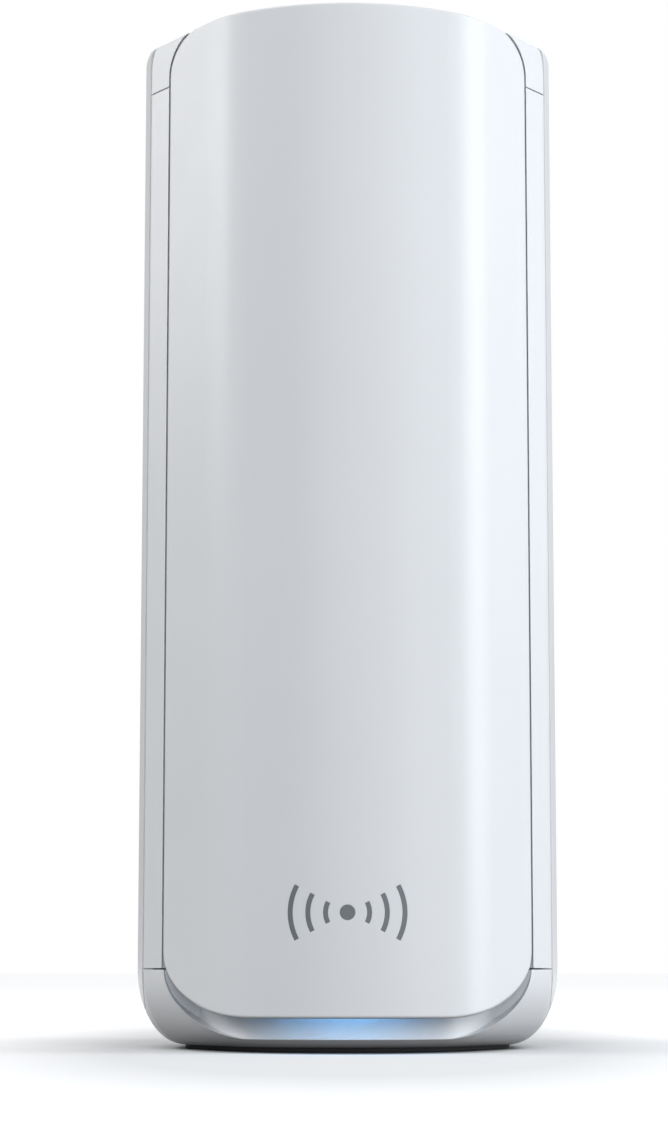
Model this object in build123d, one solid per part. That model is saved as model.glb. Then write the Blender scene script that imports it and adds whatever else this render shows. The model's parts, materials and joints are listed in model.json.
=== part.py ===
from build123d import *
import os
from math import asin, cos, degrees, radians, sin, sqrt, tan

# Mesh wifi node: an upright tower, its front towards -Y. Its plan is a shallow nose with
# tighter shoulders, a flat facet on each side, and a round back.
# Millimetres, +Z up, origin at the middle of the face that the foot rests on.

# Driving dimensions of the whole
HEIGHT = 306.0
HALF_DEPTH = 67.5
BACK_RADIUS = 63.5  # half the width
NOSE_RADIUS = 73.0
NOSE_ANGLE = 24.0  # from the front to where the shoulder starts
SHOULDER_RADIUS = 33.0
FACET_ANGLE = 50.2  # direction that each side facet faces, from the front
FACET_END_X = 60.6  # where a facet meets the back panel
EDGE_ROUND = 5.0  # radius on that vertical edge
WALL = 2.2  # thickness of every outer panel
LAP = 4.0  # width of the front panel's thinned border, which laps over its neighbours
LAP_THICKNESS = 1.2
LAP_GAP = 0.15
SEAM = 0.4  # gap between outer panels

# Front panel and the strips beside it
PANEL_HALF_WIDTH = 54.0
PANEL_BOTTOM = 9.8
PANEL_CORNER_WIDTH = 25.5
PANEL_CORNER_HEIGHT = 19.0
PANEL_TOP_CORNER_WIDTH = 9.0
PANEL_TOP_CORNER_HEIGHT = 12.0
PANEL_ROUND = 0.9  # radius round the panel's outer edge
PANEL_GROOVE = 0.45
BACK_EDGE_Y = -28.6  # plane where the side strips meet the back panel
BACK_GROOVE = 0.9
EDGE_SWEEP = 2.9  # how far that edge curves forward at the very top
EDGE_SWEEP_HEIGHT = 9.0
EDGE_TURN = 12.0  # how far it curves back at the bottom, over the base's ear
FLANGE_REACH = 4.0  # how far a side strip's flange runs under its neighbours
FLANGE_GAP = 0.2
FLANGE_WALL = 1.4

# Mark let into the front panel: a dot between two sets of three arcs
MARK_Z = 39.5
MARK_RADII = [6.2, 11.2, 16.2]
MARK_STROKE = 1.4
MARK_DOT = 2.2
MARK_HALF_ANGLE = 28.0
MARK_DEPTH = 0.3

# Top cap
RIM_THICKNESS = 1.6
RIM_ROUND = 1.2
TOP_EAR_BOTTOM = 291.5
GRILLE_INSET = 14.0

# Base
FOOT_HEIGHT = 1.3
ROUND_TOP = 24.0  # height where the body's lower rounding starts
ROUND_INSET = 14.0  # how far that rounding closes in at the bottom
BASE_EAR_TOP = 23.5
BASE_TOP = 11.1  # upper edge of the base at the back
BACK_PANEL_BOTTOM = 11.5
LINER_INSET = 2.6  # inner skirts, behind the outer panels
LINER_WALL = 2.0
BASE_LINER_INSET = 5.0
BASE_LINER_TOP = 16.6
FLOOR_TOP = 3.4
COVER_INSET = 24.0
COVER_SEAT = 1.8  # height of the face that the cover's screw heads press on
COVER_POSTS = [(-26.4, -29), (26.4, -29), (-29.3, 26.6), (29.3, 26.6)]
FOOT_INSET = 14.5
FOOT_WIDTH = 4.0
FOOT_GROOVE = 1.0

# Cove under the front panel
COVE_TAPER = 8.0  # degrees that the cove's floor and sides close in, towards the back
COVE_HALF_WIDTH = 57.6  # at the cove's front plane
COVE_FRONT_Y = -64.0
COVE_BOTTOM = 2.1
COVE_CORNER_WIDTH = 29.0
COVE_CORNER_HEIGHT = 22.0
COVE_LIP_INSET = 6.0  # where the cove's hollow back starts to rise
COVE_INSET = 9.0  # the cove's back wall, above that curve
COVE_END_Y = -36.0  # how far back the cove runs along the sides
COVE_CURVE_TOP = 11.0
COVE_WALL = 2.2
GUIDE_HALF_WIDTH = 27.0
GUIDE_BOTTOM = 11.2
GUIDE_TOP = 15.4

# Rear ports
BEZEL_FACE_Y = 45.0
BEZEL_WALL = 2.0
WINDOW_HALF_WIDTH = 46.5
WINDOW_BOTTOM = 19.0
WINDOW_TOP = 45.0
PORT_BOARD_Z = 21.0
BOARD_THICKNESS = 1.6
BOARD_POSTS = [(-42, 18.5), (42, 18.5), (-41.5, 5), (41.5, 5)]
JACK_WIDTH = 15.4
JACK_HEIGHT = 13.3
JACK_DEPTH = 20.6
SHIELD_THICKNESS = 0.25
SOCKET_WIDTH = 11.9
SOCKET_HEIGHT = 6.8
SOCKET_DEPTH = 14.5
JACK_X = {"internet": -15.0, "lan_1": 2.4, "lan_2": 19.0, "lan_3": 35.6}
DC_X = -29.5
DC_Z = 29.0
DC_PIN_RADIUS = 1.05
BUTTON_X = -41.0
POWER_Z = 27.0
RESET_Z = 33.6
SYNC_Z = 40.0
POWER_TRAVEL, SYNC_TRAVEL, RESET_TRAVEL = 1.6, 0.6, 0.5
BUTTON_RADIUS = 3.9
BUTTON_BOARD_Y = 33.0
HOLE_CLEARANCE = 0.3

# Inside
FRAME_INSET = 4.8
FRAME_RING_WIDTH = 6.0
DECK_Z = 47.0
DECK_THICKNESS = 3.0
UPPER_RING_Z = 268.0
RAIL_X = 52.5
MAIN_HALF_WIDTH = 40.0
MAIN_BOTTOM = 70.0
MAIN_TOP = 256.0
SHIELD_ROWS = [(92, 40), (140, 48), (196, 34)]  # middle height and height of each can
SHIELD_DEPTH = 2.6
SINK_HALF_WIDTH = 34.0
FIN_THICKNESS = 1.4
FIN_COUNT = 13
FAN_HALF = 36.0
FAN_HEIGHT = 12.0
FAN_BORE = 33.5
FAN_HUB = 12.0
FAN_SCREWS = [(x, y) for x in (-31, 31) for y in (-31, 31)]
BLADE_COUNT = 7
SHAFT_RADIUS = 1.5
SHAFT_CLEARANCE = 0.05
ANTENNA_ANGLES = [16, 51, 115, 148]  # degrees from the front, on each side
ANTENNA_INSET = 11.4

REACH = 100.0  # longer than half the object, for cutting tools


def heading(angle):
    """The outward direction at an angle from the front, towards +X."""
    return Vector(sin(radians(angle)), -cos(radians(angle)))


NOSE_CENTRE = Vector(0, NOSE_RADIUS - HALF_DEPTH)
SHOULDER_CENTRE = NOSE_CENTRE + heading(NOSE_ANGLE) * (NOSE_RADIUS - SHOULDER_RADIUS)
FACET_START = SHOULDER_CENTRE + heading(FACET_ANGLE) * SHOULDER_RADIUS
BACK_CENTRE = Vector(0, HALF_DEPTH - BACK_RADIUS)


def outline():
    """The full plan: half of it as tangent arcs and lines, and its mirror image."""
    nose_end = NOSE_CENTRE + heading(NOSE_ANGLE) * NOSE_RADIUS
    shoulder_middle = heading((NOSE_ANGLE + FACET_ANGLE) / 2) * SHOULDER_RADIUS
    rise = (FACET_END_X - FACET_START.X) * tan(radians(FACET_ANGLE))
    facet_end = Vector(FACET_END_X, FACET_START.Y + rise)
    side_angle = degrees(asin(FACET_END_X / BACK_RADIUS))
    side_centre = facet_end - heading(side_angle) * BACK_RADIUS
    side_middle = side_centre + heading((side_angle + 90) / 2) * BACK_RADIUS
    side_end = Vector(BACK_RADIUS, side_centre.Y)
    with BuildSketch() as sketch:
        with BuildLine():
            nose_middle = NOSE_CENTRE + heading(NOSE_ANGLE / 2) * NOSE_RADIUS
            ThreePointArc((0, -HALF_DEPTH), nose_middle, nose_end)
            ThreePointArc(nose_end, SHOULDER_CENTRE + shoulder_middle, FACET_START)
            Line(FACET_START, facet_end)
            ThreePointArc(facet_end, side_middle, side_end)
            Line(side_end, (BACK_RADIUS, BACK_CENTRE.Y))
            ThreePointArc(
                (BACK_RADIUS, BACK_CENTRE.Y),
                BACK_CENTRE + heading(135) * BACK_RADIUS,
                (0, HALF_DEPTH),
            )
            mirror(about=Plane.YZ)
        make_face()
        corners = [v for v in vertices() if abs(abs(v.X) - FACET_END_X) < 0.01]
        fillet(corners, EDGE_ROUND)
    return sketch.sketch


OUTLINE = outline()


def plan(inset):
    """The plan, moved inward by inset."""
    return OUTLINE if inset == 0 else offset(OUTLINE, amount=-inset)


def slab(inset, bottom, top):
    return extrude(Pos(0, 0, bottom) * plan(inset), amount=top - bottom)


def tube(inset, wall, bottom, top):
    return slab(inset, bottom, top) - slab(inset + wall, bottom, top)


def shrunk(inset):
    """The plan scaled down so that its sides move inward by inset."""
    return scale(OUTLINE, by=1 - inset / BACK_RADIUS)


def rising(sections):
    """A solid through scaled plans, each given as (inset, height)."""
    return loft([Pos(0, 0, z) * shrunk(inset) for inset, z in sections])


def block(x, y, z):
    """A box from its (low, high) limits along each axis."""
    middle = [(low + high) / 2 for low, high in (x, y, z)]
    size = [high - low for low, high in (x, y, z)]
    return Pos(*middle) * Box(*size)


def peg(x, y, z, radius, length):
    """A cylinder that stands on z and runs up."""
    return Pos(x, y, z + length / 2) * Cylinder(radius, length)


def pin(x, y, z, radius, length):
    """A cylinder that starts at y and runs towards +Y."""
    return Pos(x, y + length / 2, z) * Rot(90, 0, 0) * Cylinder(radius, length)


def front_outline(half_width, bottom, top, lower_corner, upper_corner):
    """A front view: a rectangle with elliptical corners."""
    low_w, low_h = lower_corner
    high_w, high_h = upper_corner
    outline = Pos(0, (bottom + low_h + top - high_h) / 2) * Rectangle(
        2 * half_width, top - high_h - bottom - low_h
    )
    low_half, high_half = half_width - low_w, half_width - high_w
    outline += Pos(0, bottom + low_h) * Rectangle(2 * low_half, 2 * low_h)
    outline += Pos(0, top - high_h) * Rectangle(2 * high_half, 2 * high_h)
    for side in (-1, 1):
        outline += Pos(side * low_half, bottom + low_h) * Ellipse(low_w, low_h)
        outline += Pos(side * high_half, top - high_h) * Ellipse(high_w, high_h)
    return outline


def save(name, shape):
    """Write one node: a solid, or a list of separate solids."""
    if isinstance(shape, (list, tuple)):
        shape = Compound(children=list(shape))
    export_step(shape, f"parts/{name}.step")


def station(angle, inset):
    """A point inset from the plan that faces an angle from the front, towards +X."""
    if angle < NOSE_ANGLE:
        return NOSE_CENTRE + heading(angle) * (NOSE_RADIUS - inset)
    if angle < 90:
        along = Vector(cos(radians(FACET_ANGLE)), sin(radians(FACET_ANGLE)))
        return FACET_START + along * 12 - heading(FACET_ANGLE) * inset
    return BACK_CENTRE + heading(angle) * (BACK_RADIUS - inset)


# ---- outer envelope ---------------------------------------------------------
def outer_form():
    """The whole outer form: upright, and closing in on the foot along a quarter ellipse."""
    drop = ROUND_TOP - FOOT_HEIGHT
    sections = []
    for angle in (90, 82, 72, 60, 45, 30, 15, 0):
        inset = ROUND_INSET * (1 - cos(radians(angle)))
        sections.append((inset, ROUND_TOP - drop * sin(radians(angle))))
    form = rising(sections) + slab(0, ROUND_TOP, HEIGHT)
    return fillet(form.faces().sort_by(Axis.Z)[-1].edges(), RIM_ROUND)


OUTER = outer_form()


def behind_edge(edge):
    """All behind the back panel's edge, which curves forward at the top and back below."""
    side_view = Pos((edge + REACH) / 2, HEIGHT / 2) * Rectangle(REACH - edge, HEIGHT)
    turn_height = BASE_EAR_TOP - BASE_TOP
    side_view -= Pos(edge + EDGE_TURN / 2, BASE_EAR_TOP / 2) * Rectangle(EDGE_TURN, BASE_EAR_TOP)
    side_view += Pos(edge + EDGE_TURN, BASE_EAR_TOP) * Ellipse(EDGE_TURN, turn_height)
    start = HEIGHT - EDGE_SWEEP_HEIGHT
    corner = Pos(edge - EDGE_SWEEP / 2, HEIGHT - EDGE_SWEEP_HEIGHT / 2) * Rectangle(
        EDGE_SWEEP, EDGE_SWEEP_HEIGHT
    )
    corner -= Pos(edge - EDGE_SWEEP, start) * Ellipse(EDGE_SWEEP, EDGE_SWEEP_HEIGHT)
    return extrude(Plane.YZ * (side_view + corner), amount=REACH, both=True)


def strip_zone(side, grow, low, high):
    """Where a side strip shows, between the front and back panels, or grown by some reach."""
    x = sorted((side * (PANEL_HALF_WIDTH + PANEL_GROOVE - grow), side * REACH))
    return block(x, (-REACH, BACK_EDGE_Y - BACK_GROOVE + grow), (low, high))


def port_window(margin):
    """The opening at the back, larger by margin all round."""
    half = WINDOW_HALF_WIDTH + margin
    z = (WINDOW_BOTTOM - margin, WINDOW_TOP + margin)
    return block((-half, half), (20, REACH), z)


def panel_outline(grow):
    """A prism of the front panel's outline, or of that outline grown to leave a groove."""
    outline = front_outline(
        PANEL_HALF_WIDTH + grow,
        PANEL_BOTTOM - grow,
        HEIGHT + grow,
        (PANEL_CORNER_WIDTH, PANEL_CORNER_HEIGHT),
        (PANEL_TOP_CORNER_WIDTH, PANEL_TOP_CORNER_HEIGHT),
    )
    return extrude(Plane.XZ * outline, amount=REACH)


def front_panel():
    skin = tube(0, WALL, 0, HEIGHT) & panel_outline(0)
    faces = [face for face in skin.faces() if face.normal_at().Y < -0.3]
    seen = [edge for face in faces for edge in face.edges()]
    rim = [edge for edge in seen if sum(edge.is_same(other) for other in seen) == 1]
    skin = fillet(rim, PANEL_ROUND)
    skin -= slab(LAP_THICKNESS, 0, HEIGHT + 1) - panel_outline(-LAP)
    ribs = [
        block((x - 1, x + 1), (-REACH, -30), (60, 240)) & tube(WALL, 1.4, 60, 240)
        for x in (-36, -18, 18, 36)
    ]
    return skin + ribs - front_mark()


def front_mark():
    """A generic radio mark, flush with the panel's face."""
    reach = MARK_RADII[-1] * 2
    rise = reach * tan(radians(MARK_HALF_ANGLE))
    wedges = make_face(Polyline((0, 0), (reach, rise), (reach, -rise), close=True))
    wedges += make_face(Polyline((0, 0), (-reach, rise), (-reach, -rise), close=True))
    shape = Circle(MARK_DOT)
    for radius in MARK_RADII:
        band = Circle(radius + MARK_STROKE / 2) - Circle(radius - MARK_STROKE / 2)
        shape += band & wedges
    prism = extrude(Plane.XZ * Pos(0, MARK_Z) * shape, amount=REACH)
    return prism & tube(0, MARK_DEPTH, MARK_Z - reach, MARK_Z + reach)


def back_panel():
    shell = OUTER - slab(WALL, ROUND_TOP, HEIGHT) - slab(3.0, BASE_LINER_TOP + SEAM, ROUND_TOP)
    shell -= slab(BASE_LINER_INSET - SEAM, 0, BASE_LINER_TOP + SEAM)
    shell &= block((-REACH, REACH), (-REACH, REACH), (BACK_PANEL_BOTTOM, HEIGHT))
    shell &= behind_edge(BACK_EDGE_Y)
    shell -= port_window(BEZEL_WALL + 0.2)
    for row in range(9):  # vent slots, high on the back
        shell -= block((-22, 22), (40, REACH), (218 + 6 * row, 220.4 + 6 * row))
    for x in (-8, 8):
        shell += block((x - 1.2, x + 1.2), (40, REACH), (217, 269.6)) & tube(
            0.6, WALL - 0.6, 217, 269.6
        )
    return shell


def side_cover(side):
    """A strip of skin with a flange that closes the grooves on both sides of it."""
    low, high = BASE_EAR_TOP + SEAM, TOP_EAR_BOTTOM - SEAM
    skin = tube(0, WALL, low, high) & strip_zone(side, 0, low, high)
    front_zone_only = strip_zone(side, LAP - 0.3, low, high)
    front_zone_only &= block((-REACH, REACH), (-REACH, BACK_EDGE_Y - BACK_GROOVE), (low, high))
    lap_inset = LAP_THICKNESS + LAP_GAP
    lap = tube(lap_inset, LINER_INSET - 0.05 - lap_inset, low, high) & front_zone_only
    low, high = BASE_EAR_TOP + 2, TOP_EAR_BOTTOM - 7
    flange = tube(WALL + FLANGE_GAP, FLANGE_WALL, low, high)
    flange &= strip_zone(side, FLANGE_REACH, low, high) - panel_outline(PANEL_GROOVE)
    web = tube(WALL - 0.2, FLANGE_GAP + 0.4, low, high) & strip_zone(side, 0, low, high)
    return skin + lap + flange + web


def panel_room():
    """The space the front panel takes in the parts around it, shallower under its border."""
    border = panel_outline(PANEL_GROOVE) - slab(LAP_THICKNESS + LAP_GAP, 0, HEIGHT + 1)
    return border + (panel_outline(0.3 - LAP) - slab(LINER_INSET, 0, HEIGHT + 1))


def front_zone(bottom, top):
    zone = block((-REACH, REACH), (-REACH, 0), (bottom, top))
    return zone - behind_edge(BACK_EDGE_Y - BACK_GROOVE)


def top_cap():
    plate_bottom = HEIGHT - RIM_THICKNESS
    plate = slab(WALL + 0.3, plate_bottom, HEIGHT)
    skirt = tube(LINER_INSET, LINER_WALL, TOP_EAR_BOTTOM - 6, plate_bottom)
    seat = tube(GRILLE_INSET - 2, 3.5, plate_bottom - 4.5, plate_bottom - 2.5)
    wall = tube(GRILLE_INSET - 2, 2, plate_bottom - 4.5, plate_bottom)
    cap = plate + skirt + seat + wall - slab(GRILLE_INSET, plate_bottom - 2.5, HEIGHT)
    cap += tube(0, LINER_INSET, TOP_EAR_BOTTOM, HEIGHT) & OUTER & front_zone(TOP_EAR_BOTTOM, HEIGHT)
    return cap - panel_room()


def top_grille():
    top = HEIGHT - RIM_THICKNESS
    plate = slab(GRILLE_INSET + 0.3, top - 2.5, top)
    zone = slab(GRILLE_INSET + 6, top - 3, top + 1)
    zone -= block((-REACH, REACH), (-1.3, 1.3), (0, HEIGHT))
    for index in range(-8, 9):
        x = index * 5.2
        plate -= block((x - 1.3, x + 1.3), (-REACH, REACH), (0, HEIGHT)) & zone
    return plate


# ---- base -------------------------------------------------------------------
def cove_core(margin):
    """What stands behind the cove: it rises from the lip in a hollow curve to a wall."""
    low, run = COVE_BOTTOM + 0.15, COVE_INSET - COVE_LIP_INSET
    rise = COVE_CURVE_TOP - low
    curve = []
    for angle in (0, 20, 40, 60, 75, 90):
        inset = COVE_LIP_INSET + run * sin(radians(angle)) + margin
        curve.append((inset, low + rise * (1 - cos(radians(angle)))))
    core = rising(curve) + extrude(shrunk(curve[0][0]), amount=low)
    return core + extrude(Pos(0, 0, COVE_CURVE_TOP) * shrunk(curve[-1][0]), amount=60)


def cove(margin):
    """The space hollowed out under the front panel, or that space grown by margin."""
    half, top = COVE_HALF_WIDTH + margin, 90.0
    bottom = COVE_BOTTOM - margin
    wide, high = COVE_CORNER_WIDTH + margin, COVE_CORNER_HEIGHT + margin
    mouth = front_outline(half, bottom, top, (wide, high), (wide, high))
    front = Plane((0, COVE_FRONT_Y, 0), x_dir=(-1, 0, 0), z_dir=(0, 1, 0))
    space = extrude(front * mouth, amount=48, taper=COVE_TAPER)
    space += extrude(Plane(front.origin, x_dir=(1, 0, 0), z_dir=(0, -1, 0)) * mouth, amount=10)
    space &= block((-REACH, REACH), (-REACH, COVE_END_Y + margin), (0, BASE_EAR_TOP + 10))
    return space - cove_core(margin)


def base_shell():
    outer = OUTER & (slab(0, 0, BASE_TOP) + front_zone(0, BASE_EAR_TOP))
    outer += slab(BASE_LINER_INSET, BASE_TOP - 2, BASE_LINER_TOP)
    outer += cove(COVE_WALL) & slab(LINER_INSET, 0, BASE_EAR_TOP + 1.8) & OUTER
    cavity = slab(LINER_INSET + LINER_WALL, BASE_LINER_TOP, 60)
    for inset, bottom in ((BASE_LINER_INSET + LINER_WALL, 8.0), (10.0, 5.2), (13.0, FLOOR_TOP)):
        cavity += slab(inset, bottom, 60)
    shell = outer - (cavity - cove(COVE_WALL)) - cove(0)
    shell -= panel_room()
    shell -= slab(COVER_INSET, 0, FLOOR_TOP + 1)
    shell += tube(COVER_INSET, 3, 2.6, FLOOR_TOP + 1.4)
    shell -= tube(FOOT_INSET, FOOT_WIDTH, 0, FOOT_HEIGHT + FOOT_GROOVE)
    shell -= port_window(BEZEL_WALL + 0.2)
    shell -= guide_space(0)
    for x, y in BOARD_POSTS:
        shell += peg(x, y, FLOOR_TOP - 0.5, 3.2, PORT_BOARD_Z - FLOOR_TOP + 0.5)
        shell -= peg(x, y, PORT_BOARD_Z - 8, 1.0, 9)
    for x, y in COVER_POSTS:
        shell -= peg(x, y, 0, 1.0, FLOOR_TOP + 6)
    return shell


def guide_space(gap):
    """The slot in the cove's back wall that the light guide fills."""
    half = GUIDE_HALF_WIDTH - gap
    face = Pos(0, 0, GUIDE_BOTTOM + gap) * (shrunk(COVE_INSET - 0.4) - shrunk(COVE_INSET + 2.8))
    arc = extrude(face, amount=GUIDE_TOP - GUIDE_BOTTOM - 2 * gap)
    return arc & block((-half, half), (-REACH, -20), (0, 40))


def light_guide():
    return guide_space(0.1)


def bottom_cover():
    plate = slab(COVER_INSET + 0.3, FOOT_HEIGHT + 0.3, 2.5)
    for index in range(-4, 5):
        x = index * 6.4
        half = sqrt(30.0**2 - x**2)
        plate -= block((x - 1.4, x + 1.4), (-half, -3), (0, 5))
    for x, y in COVER_POSTS:
        plate -= peg(x, y, 0, 1.1, 5)
        plate -= peg(x, y, 0, 1.9, COVER_SEAT)
    return plate


def foot_ring():
    ring = tube(FOOT_INSET + 0.1, FOOT_WIDTH - 0.2, 0, FOOT_HEIGHT + FOOT_GROOVE - 0.05)
    return chamfer(ring.faces().sort_by(Axis.Z)[0].edges(), 0.3)


def rating_label():
    return block((-11, 11), (4, 15), (FOOT_HEIGHT + 0.1, FOOT_HEIGHT + 0.3))


# ---- rear ports -------------------------------------------------------------
def port_bezel():
    """A tray let into the back panel: a flat face with walls that reach the skin."""
    half = WINDOW_HALF_WIDTH + BEZEL_WALL
    z = (WINDOW_BOTTOM - BEZEL_WALL, WINDOW_TOP + BEZEL_WALL)
    tray = slab(0.3, *z) & block((-half, half), (BEZEL_FACE_Y - BEZEL_WALL, REACH), z)
    tray &= OUTER
    tray -= block(
        (-WINDOW_HALF_WIDTH, WINDOW_HALF_WIDTH),
        (BEZEL_FACE_Y, REACH),
        (WINDOW_BOTTOM, WINDOW_TOP),
    )
    jack_bottom = PORT_BOARD_Z + BOARD_THICKNESS
    for x in JACK_X.values():
        tray -= block(
            (x - JACK_WIDTH / 2 - 0.2, x + JACK_WIDTH / 2 + 0.2),
            (0, REACH),
            (jack_bottom - 0.2, jack_bottom + JACK_HEIGHT + 0.2),
        )
    tray -= pin(DC_X, 0, DC_Z, 4.3, REACH)
    for z_centre in (POWER_Z, SYNC_Z):
        tray -= pin(BUTTON_X, 0, z_centre, BUTTON_RADIUS + HOLE_CLEARANCE, REACH)
    tray -= pin(BUTTON_X, 0, RESET_Z, 0.8 + HOLE_CLEARANCE, REACH)
    return tray


def jack_housing(x):
    """A moulded socket body, open towards +Y, with the latch slot at the bottom."""
    bottom = PORT_BOARD_Z + BOARD_THICKNESS
    back = BEZEL_FACE_Y - 0.4 - JACK_DEPTH
    front = BEZEL_FACE_Y - 0.4
    body_half = JACK_WIDTH / 2 - SHIELD_THICKNESS
    body = block(
        (x - body_half, x + body_half),
        (back + SHIELD_THICKNESS, front),
        (bottom, bottom + JACK_HEIGHT - SHIELD_THICKNESS),
    )
    socket_low = bottom + 4.4
    body -= block(
        (x - SOCKET_WIDTH / 2, x + SOCKET_WIDTH / 2),
        (front - SOCKET_DEPTH, REACH),
        (socket_low, socket_low + SOCKET_HEIGHT),
    )
    body -= block((x - 3.1, x + 3.1), (front - 9, REACH), (bottom + 2.9, socket_low + 1))
    body -= block((x - 1.6, x + 1.6), (front - 9, REACH), (bottom + 1.6, socket_low + 1))
    return body


def jack_shield(x):
    bottom = PORT_BOARD_Z + BOARD_THICKNESS
    back, front = BEZEL_FACE_Y - 0.4 - JACK_DEPTH, BEZEL_FACE_Y - 0.4
    outer = block(
        (x - JACK_WIDTH / 2, x + JACK_WIDTH / 2), (back, front), (bottom, bottom + JACK_HEIGHT)
    )
    inner_half = JACK_WIDTH / 2 - SHIELD_THICKNESS
    return outer - block(
        (x - inner_half, x + inner_half),
        (back + SHIELD_THICKNESS, REACH),
        (0, bottom + JACK_HEIGHT - SHIELD_THICKNESS),
    )


def jack_contacts(x):
    """Eight spring wires, slanting down from the roof of the socket."""
    roof = PORT_BOARD_Z + BOARD_THICKNESS + 4.4 + SOCKET_HEIGHT
    front = BEZEL_FACE_Y - 0.4
    wires = []
    for index in range(8):
        wire_x = x + (index - 3.5) * 1.02
        wire = Pos(wire_x, front - 9.6, roof - 1.25) * Rot(-14, 0, 0) * Box(0.4, 8.6, 0.3)
        wires.append(wire)
    return wires


def dc_housing():
    back = BEZEL_FACE_Y - 0.3 - 14
    body = block((DC_X - 4.6, DC_X + 4.6), (back, BEZEL_FACE_Y - 2.2), (22.6, DC_Z + 5))
    body += pin(DC_X, BEZEL_FACE_Y - 2.4, DC_Z, 4.0, 2.1)
    body -= pin(DC_X, BEZEL_FACE_Y - 12, DC_Z, DC_PIN_RADIUS, 4)
    return body - pin(DC_X, BEZEL_FACE_Y - 10.3, DC_Z, 2.85, REACH)


def dc_pin():
    shaft = pin(DC_X, BEZEL_FACE_Y - 12, DC_Z, DC_PIN_RADIUS, 10)
    return fillet(shaft.faces().sort_by(Axis.Y)[-1].edges(), 0.5)


def push_button(z, travel):
    """A round cap with a stem that runs into its switch; it stands 0.8 mm proud."""
    cap = pin(BUTTON_X, BEZEL_FACE_Y - 2.6, z, BUTTON_RADIUS, 3.4)
    cap = fillet(cap.faces().sort_by(Axis.Y)[-1].edges(), 0.6)
    return cap + pin(BUTTON_X, BEZEL_FACE_Y - 5.4 - travel, z, 1.4, 3.4 + travel)


def switch_body(z, half, travel, stem):
    """A switch on the button board, bored to take its stem through the whole travel."""
    front = BEZEL_FACE_Y - 5.0
    body = block(
        (BUTTON_X - half, BUTTON_X + half),
        (BUTTON_BOARD_Y + BOARD_THICKNESS, front),
        (z - half, z + half),
    )
    depth = 0.4 + 2 * travel + HOLE_CLEARANCE
    return body - pin(BUTTON_X, front - depth, z, stem + HOLE_CLEARANCE, REACH)


def reset_plunger():
    return pin(BUTTON_X, BEZEL_FACE_Y - 5.9, RESET_Z, 0.8, 4.6)


# ---- inside -----------------------------------------------------------------
def inner_frame():
    """The spine: a deck under the fan, an upper ring, rails and two cross bars."""
    deck = slab(FRAME_INSET, DECK_Z, DECK_Z + DECK_THICKNESS)
    deck -= peg(0, 0, DECK_Z - 1, FAN_BORE - 0.5, DECK_THICKNESS + 2)
    frame = deck + tube(FRAME_INSET, FRAME_RING_WIDTH, UPPER_RING_Z, UPPER_RING_Z + 3)
    for side in (-1, 1):
        rail_x = sorted((side * (RAIL_X - 2.5), side * (RAIL_X + 2.5)))
        frame += block(rail_x, (-6, 7), (DECK_Z, UPPER_RING_Z + 3))
        post_y = sorted((side * 57.0, side * 61.0))
        frame += block((-4, 4), post_y, (DECK_Z, UPPER_RING_Z + 3))
        leg_x = sorted((side * 46.0, side * 53.0))
        frame += block(leg_x, (-6, 4), (8.0, DECK_Z))
    for z in (MAIN_BOTTOM + 8, MAIN_TOP - 12):
        frame += block((-RAIL_X, RAIL_X), (4, 7), (z - 4, z + 4))
        for x in (-36, 36):
            frame += pin(x, BOARD_THICKNESS / 2, z, 3, 4)
            frame -= pin(x, 0, z, 1.1, 6)
    for side, angle in antenna_stations():
        spot = station(angle, ANTENNA_INSET - 2.2)
        hanger = Rot(0, 0, side * angle) * Box(6, 3.4, 6)
        frame += Pos(side * spot.X, spot.Y, UPPER_RING_Z - 3) * hanger
    for x, y in FAN_SCREWS:
        frame -= peg(x, y, DECK_Z - 1, 1.2, DECK_THICKNESS + 2)
    return frame


def antenna_stations():
    return [(side, angle) for angle in ANTENNA_ANGLES for side in (-1, 1)]


def main_board():
    half = BOARD_THICKNESS / 2
    board = block((-MAIN_HALF_WIDTH, MAIN_HALF_WIDTH), (-half, half), (MAIN_BOTTOM, MAIN_TOP))
    for z in (MAIN_BOTTOM + 8, MAIN_TOP - 12):
        for x in (-36, 36):
            board -= pin(x, -2, z, 1.5, 4)
    return board


def port_board():
    board = block((-45, 45), (0, 40), (PORT_BOARD_Z, PORT_BOARD_Z + BOARD_THICKNESS))
    board -= block((-50, BUTTON_X + 7), (BUTTON_BOARD_Y - 0.2, 41), (0, 40))
    for x, y in BOARD_POSTS:
        board -= peg(x, y, 0, 1.5, 40)
    return board & slab(LINER_INSET + LINER_WALL + 0.4, 0, 40)


def button_board():
    return block(
        (BUTTON_X - 6, BUTTON_X + 6),
        (BUTTON_BOARD_Y, BUTTON_BOARD_Y + BOARD_THICKNESS),
        (PORT_BOARD_Z + 1, WINDOW_TOP),
    )


def rf_shields():
    half = BOARD_THICKNESS / 2
    cans = []
    for z, height in SHIELD_ROWS:
        cans.append(block((-30, 30), (-half - SHIELD_DEPTH, -half), (z - height / 2, z + height / 2)))
    return cans


def thermal_pads():
    front = -BOARD_THICKNESS / 2 - SHIELD_DEPTH
    pads = []
    for z, height in SHIELD_ROWS:
        pads.append(block((-24, 24), (front - 1, front), (z - height / 2 + 4, z + height / 2 - 4)))
        pads.append(block((-20, 20), (BOARD_THICKNESS / 2, 2.2), (z - 10, z + 10)))
    return pads


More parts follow.
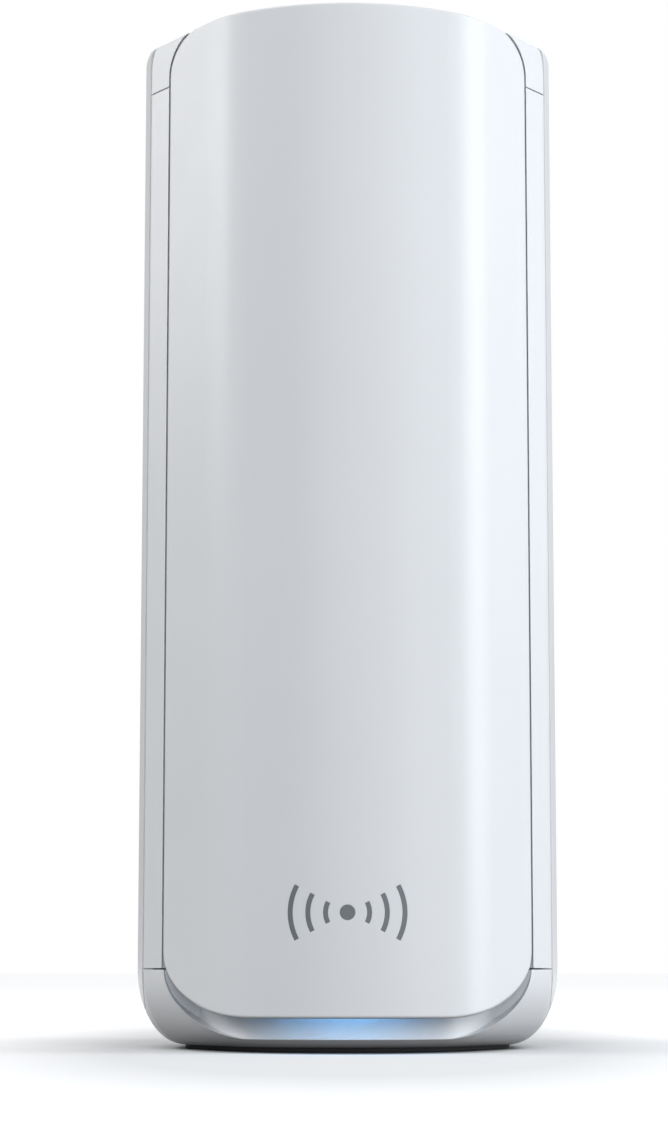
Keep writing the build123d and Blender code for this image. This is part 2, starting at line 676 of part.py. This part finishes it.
def heatsink(side, base_y, depth, bottom, top):
    """A plate with vertical fins that run away from the main board."""
    plate_y = sorted((base_y, base_y + side * 3))
    sink = block((-SINK_HALF_WIDTH, SINK_HALF_WIDTH), plate_y, (bottom, top))
    pitch = (2 * SINK_HALF_WIDTH - FIN_THICKNESS) / (FIN_COUNT - 1)
    for index in range(FIN_COUNT):
        x = -SINK_HALF_WIDTH + index * pitch
        fin_y = sorted((base_y + side * 2.5, base_y + side * depth))
        sink += block((x, x + FIN_THICKNESS), fin_y, (bottom, top))
    return sink


def fan_frame():
    bottom = DECK_Z + DECK_THICKNESS
    body = Pos(0, 0, bottom + FAN_HEIGHT / 2) * Box(2 * FAN_HALF, 2 * FAN_HALF, FAN_HEIGHT)
    body = fillet(body.edges().filter_by(Axis.Z), 4)
    body -= peg(0, 0, bottom - 1, FAN_BORE, FAN_HEIGHT + 2)
    body += peg(0, 0, bottom, FAN_HUB, 1.6)
    for angle in (45, 135):
        strut = Pos(0, 0, bottom + 0.8) * Rot(0, 0, angle) * Box(2 * FAN_BORE + 2, 3, 1.6)
        body += strut
    body += peg(0, 0, bottom, 4.5, 7)
    body -= peg(0, 0, bottom - 1, 2.75, 12)
    for x, y in FAN_SCREWS:
        body -= peg(x, y, bottom - 1, 1.6, FAN_HEIGHT + 2)
    return body


def fan_bush():
    bottom = DECK_Z + DECK_THICKNESS
    return peg(0, 0, bottom + 0.2, 2.7, 6.6) - peg(0, 0, bottom, SHAFT_RADIUS + SHAFT_CLEARANCE, 8)


def fan_shaft():
    return peg(0, 0, DECK_Z + DECK_THICKNESS + 0.6, SHAFT_RADIUS, 9.6)


def fan_rotor():
    """A cup over the hub with raked blades; the shaft is pressed into the cup."""
    bottom = DECK_Z + DECK_THICKNESS + 2.6
    height = FAN_HEIGHT - 3.2
    cup = peg(0, 0, bottom, FAN_HUB, height) - peg(0, 0, bottom - 1, FAN_HUB - 1.2, height - 0.6)
    cup -= peg(0, 0, bottom - 1, SHAFT_RADIUS, height + 2)
    zone = peg(0, 0, bottom + 0.2, FAN_BORE - 0.8, height - 0.4) - peg(
        0, 0, bottom - 1, FAN_HUB - 0.4, height + 2
    )
    rotor = cup
    for index in range(BLADE_COUNT):
        spin = Rot(0, 0, index * 360 / BLADE_COUNT)
        blade = Pos(FAN_HUB + 10, 0, bottom + height / 2) * Rot(38, 0, 0) * Box(26, 13, 1.2)
        rotor += spin * blade & zone
    return rotor


def led_board():
    return block((-17, 17), (-51.4, -49.8), (6.0, 18.0))


def led_emitters():
    return [block((x - 1.5, x + 1.5), (-53.0, -51.4), (11.6, 15.0)) for x in (-12, 0, 12)]


def antenna(side, angle):
    """A thin strip antenna with a slot, facing outward from inside the ring."""
    spot = station(angle, ANTENNA_INSET)
    blade = Box(14, 1, 46) - Pos(0, 0, -6) * Box(3, 2, 28)
    return Pos(side * spot.X, spot.Y, UPPER_RING_Z - 23) * Rot(0, 0, side * angle) * blade


def lead(points, bend, radius):
    """A round wire along straight runs joined by arcs."""
    path = FilletPolyline(*points, radius=bend)
    return sweep(Plane(origin=path @ 0, z_dir=path % 0) * Circle(radius), path=path)


def antenna_leads():
    """One lead from the main board's upper edge to the inner face of each antenna."""
    leads = []
    run_z = UPPER_RING_Z - 6
    for side, angle in antenna_stations():
        start_x = side * (30 if angle in ANTENNA_ANGLES[1:3] else 15)
        start_y = (BOARD_THICKNESS / 2 + 0.7) * (1 if angle > 90 else -1)
        end = station(angle, ANTENNA_INSET + 1.2)
        points = [
            (start_x, start_y, MAIN_TOP - 4),
            (start_x, start_y, run_z),
            (side * end.X, end.Y, run_z),
            (side * end.X, end.Y, run_z - 12),
        ]
        leads.append(lead(points, 3.0, 0.65))
    return leads


def fan_lead():
    top = DECK_Z + DECK_THICKNESS + FAN_HEIGHT
    corner = 26
    points = [
        (corner, -corner, top),
        (corner, -corner, top + 5),
        (corner, 0, top + 5),
        (corner, 0, MAIN_BOTTOM),
    ]
    return lead(points, 2.0, 0.9)


def screw(head_radius, shank_radius, length):
    """A pan head screw with a cross recess; the head sits above z = 0."""
    head = peg(0, 0, 0, head_radius, 1.2)
    head -= Pos(0, 0, 1.1) * Box(head_radius * 1.1, 0.5, 0.8)
    head -= Pos(0, 0, 1.1) * Box(0.5, head_radius * 1.1, 0.8)
    return head + peg(0, 0, -length, shank_radius, length)


def base_screws():
    """Screws up through the bottom cover into the base."""
    return [
        Pos(x, y, COVER_SEAT) * Rot(180, 0, 0) * screw(1.7, 0.95, 2.9)
        for x, y in COVER_POSTS
    ]


def board_screws():
    """Screws through the port board and, along Y, through the main board."""
    top = PORT_BOARD_Z + BOARD_THICKNESS
    screws = [Pos(x, y, top) * screw(2.6, 0.9, 7) for x, y in BOARD_POSTS]
    for z in (MAIN_BOTTOM + 8, MAIN_TOP - 12):
        for x in (-36, 36):
            screws.append(Pos(x, -BOARD_THICKNESS / 2, z) * Rot(90, 0, 0) * screw(2.6, 1.0, 4.5))
    return screws


def fan_screws():
    top = DECK_Z + DECK_THICKNESS + FAN_HEIGHT
    return [Pos(x, y, top) * screw(2.6, 1.1, FAN_HEIGHT + 2) for x, y in FAN_SCREWS]


os.makedirs("parts", exist_ok=True)

save("front_panel", front_panel())
save("front_mark", front_mark())
save("back_panel", back_panel())
save("side_cover_left", side_cover(-1))
save("side_cover_right", side_cover(1))
save("top_cap", top_cap())
save("top_grille", top_grille())
save("base_shell", base_shell())
save("light_guide", light_guide())
save("bottom_cover", bottom_cover())
save("foot_ring", foot_ring())
save("rating_label", rating_label())

save("port_bezel", port_bezel())
for port, port_x in JACK_X.items():
    save(f"{port}_jack_housing", jack_housing(port_x))
    save(f"{port}_jack_shield", jack_shield(port_x))
    save(f"{port}_jack_contacts", jack_contacts(port_x))
save("dc_jack_housing", dc_housing())
save("dc_jack_pin", dc_pin())

save("power_button", push_button(POWER_Z, POWER_TRAVEL))
save("sync_button", push_button(SYNC_Z, SYNC_TRAVEL))
save("reset_plunger", reset_plunger())
save("power_switch", switch_body(POWER_Z, 3.4, POWER_TRAVEL, 1.4))
save("sync_switch", switch_body(SYNC_Z, 3.0, SYNC_TRAVEL, 1.4))
save("reset_switch", switch_body(RESET_Z, 2.2, RESET_TRAVEL + 0.3, 0.8))
save("button_board", button_board())

save("inner_frame", inner_frame())
save("main_board", main_board())
save("port_board", port_board())
save("rf_shields", rf_shields())
save("thermal_pads", thermal_pads())
save("heatsink_front", heatsink(-1, -BOARD_THICKNESS / 2 - SHIELD_DEPTH - 1, 20, 74, 216))
save("heatsink_back", heatsink(1, 2.2, 20, 86, 228))
save("fan_frame", fan_frame())
save("fan_bush", fan_bush())
save("fan_shaft", fan_shaft())
save("fan_rotor", fan_rotor())
save("led_board", led_board())
save("led_emitters", led_emitters())
for number, (side_sign, antenna_angle) in enumerate(antenna_stations(), start=1):
    save(f"antenna_{number}", antenna(side_sign, antenna_angle))
save("antenna_leads", antenna_leads())
save("fan_lead", fan_lead())
save("base_screws", base_screws())
save("board_screws", board_screws())
save("fan_screws", fan_screws())
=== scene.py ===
"""Looks of a mesh wifi node: its CAD parts get their materials and printed icons are added beside
its rear ports, on a pale floor under soft studio light. Metres, front towards -Y."""

import json
from math import cos, radians, sin

import bmesh
import bpy
from mathutils import Matrix, Vector


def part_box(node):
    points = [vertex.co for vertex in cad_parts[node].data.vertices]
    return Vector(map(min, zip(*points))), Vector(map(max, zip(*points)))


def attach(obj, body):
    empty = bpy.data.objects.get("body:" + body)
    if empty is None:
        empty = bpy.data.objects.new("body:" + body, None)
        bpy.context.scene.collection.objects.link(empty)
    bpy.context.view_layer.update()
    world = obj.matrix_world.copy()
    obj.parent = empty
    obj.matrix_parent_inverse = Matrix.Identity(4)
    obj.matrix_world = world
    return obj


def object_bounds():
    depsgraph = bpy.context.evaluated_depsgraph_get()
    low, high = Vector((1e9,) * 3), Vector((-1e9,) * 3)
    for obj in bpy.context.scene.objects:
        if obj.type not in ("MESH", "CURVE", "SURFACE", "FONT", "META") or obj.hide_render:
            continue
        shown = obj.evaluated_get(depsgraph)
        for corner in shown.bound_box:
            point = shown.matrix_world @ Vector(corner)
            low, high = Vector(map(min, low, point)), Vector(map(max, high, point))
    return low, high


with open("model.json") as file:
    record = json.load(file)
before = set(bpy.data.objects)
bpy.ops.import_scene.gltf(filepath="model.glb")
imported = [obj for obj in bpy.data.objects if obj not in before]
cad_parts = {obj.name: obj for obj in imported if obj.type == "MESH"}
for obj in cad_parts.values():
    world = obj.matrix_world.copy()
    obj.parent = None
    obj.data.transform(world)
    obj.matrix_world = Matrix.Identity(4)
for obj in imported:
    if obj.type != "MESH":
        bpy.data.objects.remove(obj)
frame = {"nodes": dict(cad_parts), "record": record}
cad_low, cad_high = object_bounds()
MM = 0.001

# ---- values -----------------------------------------------------------------
CAMERA_DISTANCE = 0.766  # from the tower's axis
CAMERA_HEIGHT = 0.0237
CAMERA_TILT = 6.62  # degrees upward
LENS_MM, SENSOR_MM = 78.9, 36.0
SHIFT_X, SHIFT_Y = -0.012, 0.1046

SKY_COLOUR = (0.96, 0.98, 1.0, 1)
SKY_ABOVE, SKY_BELOW = 0.55, 0.04  # strength overhead and underfoot
SKY_FADE_LOW, SKY_FADE_HIGH = -0.35, 0.25  # as the height of a direction of unit length
COOL, NEUTRAL = (0.965, 1.0, 1.05), (1.0, 1.0, 1.0)
# name, place, width and height, watts, colour; each is aimed at the tower's middle
LAMPS = [
    ("front", (0.0, -1.3, 0.50), (0.7, 1.2), 4.4, COOL),
    ("front_right", (0.60, -1.04, 0.45), (0.5, 1.3), 3.6, COOL),
    ("right", (1.18, -0.21, 0.45), (0.5, 1.3), 9.0, COOL),
    ("edge_right", (1.16, 0.31, 0.45), (0.5, 1.3), 1.2, COOL),
    ("left_high", (-1.18, -0.21, 0.80), (0.4, 0.6), 4.2, NEUTRAL),
    ("edge_left_high", (-1.18, 0.21, 0.80), (0.4, 0.6), 2.8, NEUTRAL),
]

FLOOR_RADIUS = 12.0
PAINTED_SHADOW_CENTRE, PAINTED_SHADOW_RADII = (0, -0.010), (0.054, 0.066)  # a painted contact shadow in the floor's colour round the tower's foot, not a cast one
PAINTED_SHADOW_DARKNESS = 0.12
GLOW_SHAPE = (1, 3)  # the floor's painted glow brightens faster to the sides than to the front
GLOW_START, GLOW_END = 0.07, 0.16
GLOW_STRENGTH = 0.55

GUIDE_BLUE = (0.16, 0.52, 1.0, 1)
GUIDE_MIDDLE, GUIDE_ENDS = 9.0, 0.2  # glow strength
GUIDE_FADE_FROM, GUIDE_FADE_TO = 4 * MM, 24 * MM  # from the middle of its length

ICON_LINE = 0.35 * MM
ICON_PROUD = 0.05 * MM
ICON_BACK = 0.4 * MM  # the jack shields end this far inside the bezel's face
ICON_DROP = 1.9 * MM  # below the sockets
SIGN_GAP = 1.9 * MM  # beside the buttons
GLOBE_RADIUS, GLOBE_FLAT = 1.2 * MM, 0.4
DOT_RADIUS, DOT_STEP = 0.5 * MM, 2.4 * MM
INLET_RADIUS, INLET_DOT, INLET_REACH = 1.1 * MM, 0.3 * MM, 2.8 * MM
SIGN_RADIUS = 1.3 * MM


# ---- camera -----------------------------------------------------------------
def make_camera():
    data = bpy.data.cameras.new("camera")
    data.lens = LENS_MM
    data.sensor_width = SENSOR_MM
    data.shift_x, data.shift_y = SHIFT_X, SHIFT_Y
    data.clip_start, data.clip_end = 0.01, 50.0
    camera = bpy.data.objects.new("camera", data)
    camera.location = (0, -CAMERA_DISTANCE, CAMERA_HEIGHT)
    camera.rotation_euler = (radians(90 + CAMERA_TILT), 0, 0)
    bpy.context.scene.collection.objects.link(camera)
    bpy.context.scene.camera = camera


# ---- light and floor --------------------------------------------------------
def area_light(name, place, aim, size, power, colour):
    data = bpy.data.lights.new(name, "AREA")
    data.shape = "RECTANGLE"
    data.size, data.size_y = size
    data.energy = power
    data.color = colour
    light = bpy.data.objects.new(name, data)
    light.location = place
    light.rotation_euler = (Vector(aim) - Vector(place)).to_track_quat("-Z", "Y").to_euler()
    bpy.context.scene.collection.objects.link(light)


def make_world():
    """White to the camera. As a light it is a soft sky that fades out below the floor."""
    world = bpy.data.worlds.new("studio")
    world.use_nodes = True
    nodes, links = world.node_tree.nodes, world.node_tree.links
    nodes.clear()
    seen = nodes.new("ShaderNodeBackground")
    seen.inputs["Color"].default_value = (1, 1, 1, 1)
    lighting = nodes.new("ShaderNodeBackground")
    lighting.inputs["Color"].default_value = SKY_COLOUR
    place = nodes.new("ShaderNodeTexCoord")
    split = nodes.new("ShaderNodeSeparateXYZ")
    fade = nodes.new("ShaderNodeMapRange")
    fade.inputs["From Min"].default_value = SKY_FADE_LOW
    fade.inputs["From Max"].default_value = SKY_FADE_HIGH
    fade.inputs["To Min"].default_value = SKY_BELOW
    fade.inputs["To Max"].default_value = SKY_ABOVE
    path = nodes.new("ShaderNodeLightPath")
    mix = nodes.new("ShaderNodeMixShader")
    out = nodes.new("ShaderNodeOutputWorld")
    links.new(place.outputs["Generated"], split.inputs["Vector"])
    links.new(split.outputs["Z"], fade.inputs["Value"])
    links.new(fade.outputs["Result"], lighting.inputs["Strength"])
    links.new(path.outputs["Is Camera Ray"], mix.inputs["Fac"])
    links.new(lighting.outputs["Background"], mix.inputs[1])
    links.new(seen.outputs["Background"], mix.inputs[2])
    links.new(mix.outputs["Shader"], out.inputs["Surface"])
    bpy.context.scene.world = world


def make_studio():
    make_world()
    middle = (0, 0, cad_high.z / 2)
    for name, place, size, power, colour in LAMPS:
        area_light(name, place, middle, size, power, colour)
    bpy.context.scene.view_settings.view_transform = "Standard"


def make_floor():
    """A wide white disc. It takes the shadow but throws no diffuse light back up at the tower."""
    mesh = bpy.data.meshes.new("floor")
    build = bmesh.new()
    bmesh.ops.create_circle(build, cap_ends=True, segments=96, radius=FLOOR_RADIUS)
    build.to_mesh(mesh)
    build.free()
    floor = bpy.data.objects.new("floor", mesh)
    bpy.context.scene.collection.objects.link(floor)
    mesh.materials.append(floor_material())
    floor.visible_diffuse = False


# ---- material helpers -------------------------------------------------------
def shader(name):
    """A new material and its node tree, with the principled shader ready."""
    material = bpy.data.materials.new(name)
    material.use_nodes = True
    tree = material.node_tree
    return material, tree, tree.nodes["Principled BSDF"]


def node(tree, kind, **values):
    """A new node. A value goes to the input of that name, or else to the node's own setting."""
    made = tree.nodes.new(kind)
    for key, value in values.items():
        if key in made.inputs:
            made.inputs[key].default_value = value
        else:
            setattr(made, key, value)
    return made


def noise(tree, scale, detail=3.0, stretch=(1, 1, 1)):
    """A noise in the object's own metres, stretched along its axes."""
    place = node(tree, "ShaderNodeTexCoord")
    mapping = node(tree, "ShaderNodeMapping")
    mapping.inputs["Scale"].default_value = stretch
    field = node(tree, "ShaderNodeTexNoise", Scale=scale, Detail=detail)
    tree.links.new(place.outputs["Object"], mapping.inputs["Vector"])
    tree.links.new(mapping.outputs["Vector"], field.inputs["Vector"])
    return field.outputs["Fac"]


def ramp(tree, value, low, high, dark, light):
    """Turn low to high of a value into dark to light, which are two colours or two numbers."""
    if isinstance(dark, (int, float)):
        made = node(tree, "ShaderNodeMapRange")
        made.inputs["From Min"].default_value = low
        made.inputs["From Max"].default_value = high
        made.inputs["To Min"].default_value = dark
        made.inputs["To Max"].default_value = light
        tree.links.new(value, made.inputs["Value"])
        return made.outputs["Result"]
    made = node(tree, "ShaderNodeValToRGB")
    made.color_ramp.elements[0].position = low
    made.color_ramp.elements[0].color = (*dark, 1)
    made.color_ramp.elements[1].position = high
    made.color_ramp.elements[1].color = (*light, 1)
    tree.links.new(value, made.inputs["Fac"])
    return made.outputs["Color"]


def shades(colour, spread):
    """The colour a little darker and a little lighter."""
    return [c * (1 - spread) for c in colour], [min(1.0, c * (1 + spread)) for c in colour]


def bump(tree, bsdf, value, strength, depth, edge=0.0):
    """Bump from a value, over a small rounding of the mesh's edges."""
    made = node(tree, "ShaderNodeBump", Strength=strength, Distance=depth)
    tree.links.new(value, made.inputs["Height"])
    if edge:
        rounded = node(tree, "ShaderNodeBevel", samples=6)
        rounded.inputs["Radius"].default_value = edge
        tree.links.new(rounded.outputs["Normal"], made.inputs["Normal"])
    tree.links.new(made.outputs["Normal"], bsdf.inputs["Normal"])


def finish(
    name, colour, roughness, spread=0.02, grain=2200.0, depth=0.00002, edge=0.0003, **sockets
):
    """A moulded or cast surface: slow colour drift, uneven gloss and a fine grain."""
    material, tree, bsdf = shader(name)
    dark, light = shades(colour, spread)
    drift = ramp(tree, noise(tree, 14.0), 0.35, 0.65, dark, light)
    tree.links.new(drift, bsdf.inputs["Base Color"])
    gloss = ramp(tree, noise(tree, 60.0), 0.3, 0.7, roughness * 0.92, roughness * 1.08)
    tree.links.new(gloss, bsdf.inputs["Roughness"])
    bump(tree, bsdf, noise(tree, grain, 2.0), 0.35, depth, edge)
    for socket, value in sockets.items():
        bsdf.inputs[socket.replace("_", " ")].default_value = value
    return material


def brushed(name, colour, roughness, stretch, edge=0.0002):
    """Metal with fine lines: the noise is stretched across one axis."""
    material, tree, bsdf = shader(name)
    bsdf.inputs["Metallic"].default_value = 1.0
    lines = noise(tree, 900.0, 4.0, stretch)
    dark, light = shades(colour, 0.08)
    tone = ramp(tree, lines, 0.3, 0.7, dark, light)
    tree.links.new(tone, bsdf.inputs["Base Color"])
    gloss = ramp(tree, lines, 0.3, 0.7, roughness * 0.8, roughness * 1.2)
    tree.links.new(gloss, bsdf.inputs["Roughness"])
    bump(tree, bsdf, lines, 0.2, 0.00001, edge)
    return material


def reach(tree, centre, radii):
    """How far out a point on the floor is, in the radii of an ellipse round a centre."""
    place = node(tree, "ShaderNodeTexCoord")
    shift = node(tree, "ShaderNodeVectorMath", operation="SUBTRACT")
    shift.inputs[1].default_value = (*centre, 0)
    shape = node(tree, "ShaderNodeVectorMath", operation="DIVIDE")
    shape.inputs[1].default_value = (*radii, 1)
    size = node(tree, "ShaderNodeVectorMath", operation="LENGTH")
    tree.links.new(place.outputs["Object"], shift.inputs[0])
    tree.links.new(shift.outputs["Vector"], shape.inputs[0])
    tree.links.new(shape.outputs["Vector"], size.inputs[0])
    return size.outputs["Value"]


# ---- materials --------------------------------------------------------------
def floor_material():
    """White card with a painted contact shadow round the tower's foot; its glow fades out near
    the tower, which paints more shade there, and is evenly bright further away.
    """
    material, tree, bsdf = shader("floor")
    bsdf.inputs["Roughness"].default_value = 0.8
    bsdf.inputs["Specular IOR Level"].default_value = 0.0
    patches = ramp(tree, noise(tree, 3.0), 0.3, 0.7, (0.76, 0.76, 0.76), (0.78, 0.78, 0.78))
    # painted contact shadow: the floor's colour is darkened in an ellipse round the tower's foot
    under = reach(tree, PAINTED_SHADOW_CENTRE, PAINTED_SHADOW_RADII)
    shade = ramp(tree, under, 0.80, 1.0, (PAINTED_SHADOW_DARKNESS,) * 3, (1,) * 3)
    both = node(tree, "ShaderNodeMix", data_type="RGBA", blend_type="MULTIPLY")
    both.inputs[0].default_value = 1.0
    tree.links.new(patches, both.inputs[6])
    tree.links.new(shade, both.inputs[7])
    tree.links.new(both.outputs[2], bsdf.inputs["Base Color"])
    bsdf.inputs["Emission Color"].default_value = (1, 1, 1, 1)
    # painted light and shade: the floor glows, from nothing near the tower to evenly bright
    # further out
    away = reach(tree, (0, 0), GLOW_SHAPE)
    glow = ramp(tree, away, GLOW_START, GLOW_END, 0.0, GLOW_STRENGTH)
    tree.links.new(glow, bsdf.inputs["Emission Strength"])
    return material


def guide_material():
    """Frosted acrylic, brightest in the middle of its length."""
    material, tree, bsdf = shader("light_guide")
    place = node(tree, "ShaderNodeTexCoord")
    split = node(tree, "ShaderNodeSeparateXYZ")
    tree.links.new(place.outputs["Object"], split.inputs["Vector"])
    away = node(tree, "ShaderNodeMath", operation="ABSOLUTE")
    tree.links.new(split.outputs["X"], away.inputs[0])
    far = away.outputs[0]
    glow = ramp(tree, far, GUIDE_FADE_FROM, GUIDE_FADE_TO, GUIDE_MIDDLE, GUIDE_ENDS)
    tree.links.new(glow, bsdf.inputs["Emission Strength"])
    bsdf.inputs["Emission Color"].default_value = GUIDE_BLUE
    bsdf.inputs["Base Color"].default_value = (0.75, 0.85, 0.93, 1)
    frost = ramp(tree, noise(tree, 1800.0), 0.3, 0.7, 0.35, 0.5)
    tree.links.new(frost, bsdf.inputs["Roughness"])
    return material


def board_material():
    """Solder mask over copper traces laid out on a grid."""
    material, tree, bsdf = shader("board")
    place = node(tree, "ShaderNodeTexCoord")
    traces = node(tree, "ShaderNodeTexBrick", Scale=260.0)
    traces.inputs["Mortar Size"].default_value = 0.035
    traces.inputs["Color1"].default_value = (0.015, 0.13, 0.07, 1)
    traces.inputs["Color2"].default_value = (0.02, 0.16, 0.085, 1)
    traces.inputs["Mortar"].default_value = (0.05, 0.27, 0.14, 1)
    tree.links.new(place.outputs["Object"], traces.inputs["Vector"])
    tree.links.new(traces.outputs["Color"], bsdf.inputs["Base Color"])
    bsdf.inputs["Roughness"].default_value = 0.3
    bump(tree, bsdf, traces.outputs["Fac"], 0.2, 0.00003)
    return material


def label_material():
    """Pale film with blank printed bars; it carries no text."""
    material, tree, bsdf = shader("label")
    place = node(tree, "ShaderNodeTexCoord")
    bars = node(tree, "ShaderNodeTexWave", Scale=95.0, Distortion=0.0)
    bars.bands_direction = "Y"
    tree.links.new(place.outputs["Object"], bars.inputs["Vector"])
    ink = ramp(tree, bars.outputs["Fac"], 0.80, 0.86, (0.80, 0.81, 0.82), (0.45, 0.46, 0.47))
    tree.links.new(ink, bsdf.inputs["Base Color"])
    bsdf.inputs["Roughness"].default_value = 0.45
    return material


def make_materials():
    """One material for each slot of the record."""
    white = (0.80, 0.81, 0.82)
    return {
        "shell": finish("shell", white, 0.34, 0.008, depth=0.000012),
        "grille": finish("grille", (0.70, 0.71, 0.72), 0.45, 0.015),
        "mark": finish("mark", (0.155, 0.17, 0.18), 0.4, edge=0.0),
        "foot": finish("foot", (0.02, 0.02, 0.022), 0.75, 0.1, 900.0, 0.00006),
        "light_guide": guide_material(),
        "label": label_material(),
        "jack_plastic": finish("jack_plastic", (0.02, 0.02, 0.022), 0.42, 0.05, edge=0.00015),
        "jack_shield": brushed("jack_shield", (0.60, 0.60, 0.59), 0.32, (1, 0.05, 1), 0.00008),
        "contact": brushed("contact", (0.85, 0.62, 0.28), 0.25, (1, 0.05, 1), 0.00006),
        "button": finish("button", (0.62, 0.63, 0.65), 0.36, 0.015, edge=0.0002),
        "board": board_material(),
        "frame": finish("frame", (0.05, 0.053, 0.056), 0.5, 0.05),
        "can": brushed("can", (0.62, 0.62, 0.60), 0.36, (0.05, 1, 1)),
        "pad": finish("pad", (0.28, 0.40, 0.50), 0.7, 0.05, 1200.0, 0.00005),
        "heatsink": brushed("heatsink", (0.66, 0.67, 0.68), 0.38, (1, 1, 0.04)),
        "fan": finish("fan", (0.022, 0.022, 0.024), 0.45, 0.06),
        "steel": brushed("steel", (0.52, 0.52, 0.51), 0.3, (1, 1, 0.2)),
        "emitter": finish("emitter", (0.85, 0.86, 0.66), 0.2, 0.03, edge=0.0001),
        "lead": finish("lead", (0.025, 0.025, 0.027), 0.5, 0.08, 1500.0),
    }


def dress_nodes(materials):
    """Give every CAD node its slot's material."""
    for part in frame["record"]["subparts"]:
        shown = frame["nodes"][part["node"]]
        shown.data.materials.clear()
        shown.data.materials.append(materials[part["material_slot"]])


# ---- printed icons beside the rear ports ------------------------------------
def band(build, centre, radius, start=0.0, end=360.0, flat=1.0):
    """A thin arc in the XZ plane, squeezed sideways by flat. Degrees, from +X towards +Z."""
    steps = 32
    rows = []
    for step in range(steps + 1):
        turn = radians(start + (end - start) * step / steps)
        rows.append([
            build.verts.new((centre[0] + r * flat * cos(turn), 0, centre[1] + r * sin(turn)))
            for r in (radius - ICON_LINE / 2, radius + ICON_LINE / 2)
        ])
    for low, high in zip(rows, rows[1:]):
        build.faces.new((low[0], low[1], high[1], high[0]))


def stroke(build, start, end):
    """A thin straight line in the XZ plane."""
    run = Vector(end) - Vector(start)
    side = Vector((-run.y, run.x)).normalized() * ICON_LINE / 2
    corners = [
        (start[0] + side.x, start[1] + side.y),
        (start[0] - side.x, start[1] - side.y),
        (end[0] - side.x, end[1] - side.y),
        (end[0] + side.x, end[1] + side.y),
    ]
    build.faces.new([build.verts.new((x, 0, z)) for x, z in corners])


def middle_x(name):
    low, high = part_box(name)
    return (low.x + high.x) / 2


def draw_globe(build, x, z):
    band(build, (x, z), GLOBE_RADIUS)
    band(build, (x, z), GLOBE_RADIUS, flat=GLOBE_FLAT)
    stroke(build, (x - GLOBE_RADIUS, z), (x + GLOBE_RADIUS, z))


def draw_dots(build, x, z, count):
    for index in range(count):
        band(build, (x + (index - (count - 1) / 2) * DOT_STEP, z), DOT_RADIUS)


def draw_inlet(build, x, z):
    """An open ring round a dot, with a line to each side."""
    band(build, (x, z), INLET_RADIUS, -40, 220)
    band(build, (x, z), INLET_DOT)
    stroke(build, (x - INLET_REACH, z), (x - INLET_RADIUS, z))
    stroke(build, (x + INLET_RADIUS, z), (x + INLET_REACH, z))


def draw_power(build, x, z):
    """A ring open at the top, with a line in the opening."""
    band(build, (x, z), SIGN_RADIUS, 125, 415)
    stroke(build, (x, z + 0.5 * MM), (x, z + 1.9 * MM))


def draw_sync(build, x, z):
    """Two arcs that close on each other."""
    band(build, (x, z), SIGN_RADIUS, 20, 160)
    band(build, (x, z), SIGN_RADIUS, 200, 340)


def port_icons(material):
    """Printed signs on the bezel, under the sockets and beside the two buttons."""
    build = bmesh.new()
    jack_low, jack_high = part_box("internet_jack_shield")
    row_z = jack_low.z - ICON_DROP
    draw_globe(build, middle_x("internet_jack_shield"), row_z)
    for count in (1, 2, 3):
        draw_dots(build, middle_x(f"lan_{count}_jack_shield"), row_z, count)
    draw_inlet(build, middle_x("dc_jack_pin"), row_z)
    low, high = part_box("power_button")
    draw_power(build, high.x + SIGN_GAP, low.z - 0.6 * MM)
    low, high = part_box("sync_button")
    draw_sync(build, high.x + SIGN_GAP, (low.z + high.z) / 2 + 1.4 * MM)
    mesh = bpy.data.meshes.new("port_icons")
    build.to_mesh(mesh)
    build.free()
    mesh.transform(Matrix.Translation((0, jack_high.y + ICON_BACK + ICON_PROUD, 0)))
    mesh.materials.append(material)
    icons = bpy.data.objects.new("port_icons", mesh)
    bpy.context.scene.collection.objects.link(icons)
    thick = icons.modifiers.new("print", "SOLIDIFY")
    thick.thickness = ICON_PROUD * 2
    thick.offset = 0.0
    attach(icons, "housing")


# ---- the scene --------------------------------------------------------------
make_camera()
make_studio()
make_floor()
materials = make_materials()
dress_nodes(materials)
port_icons(materials["mark"])
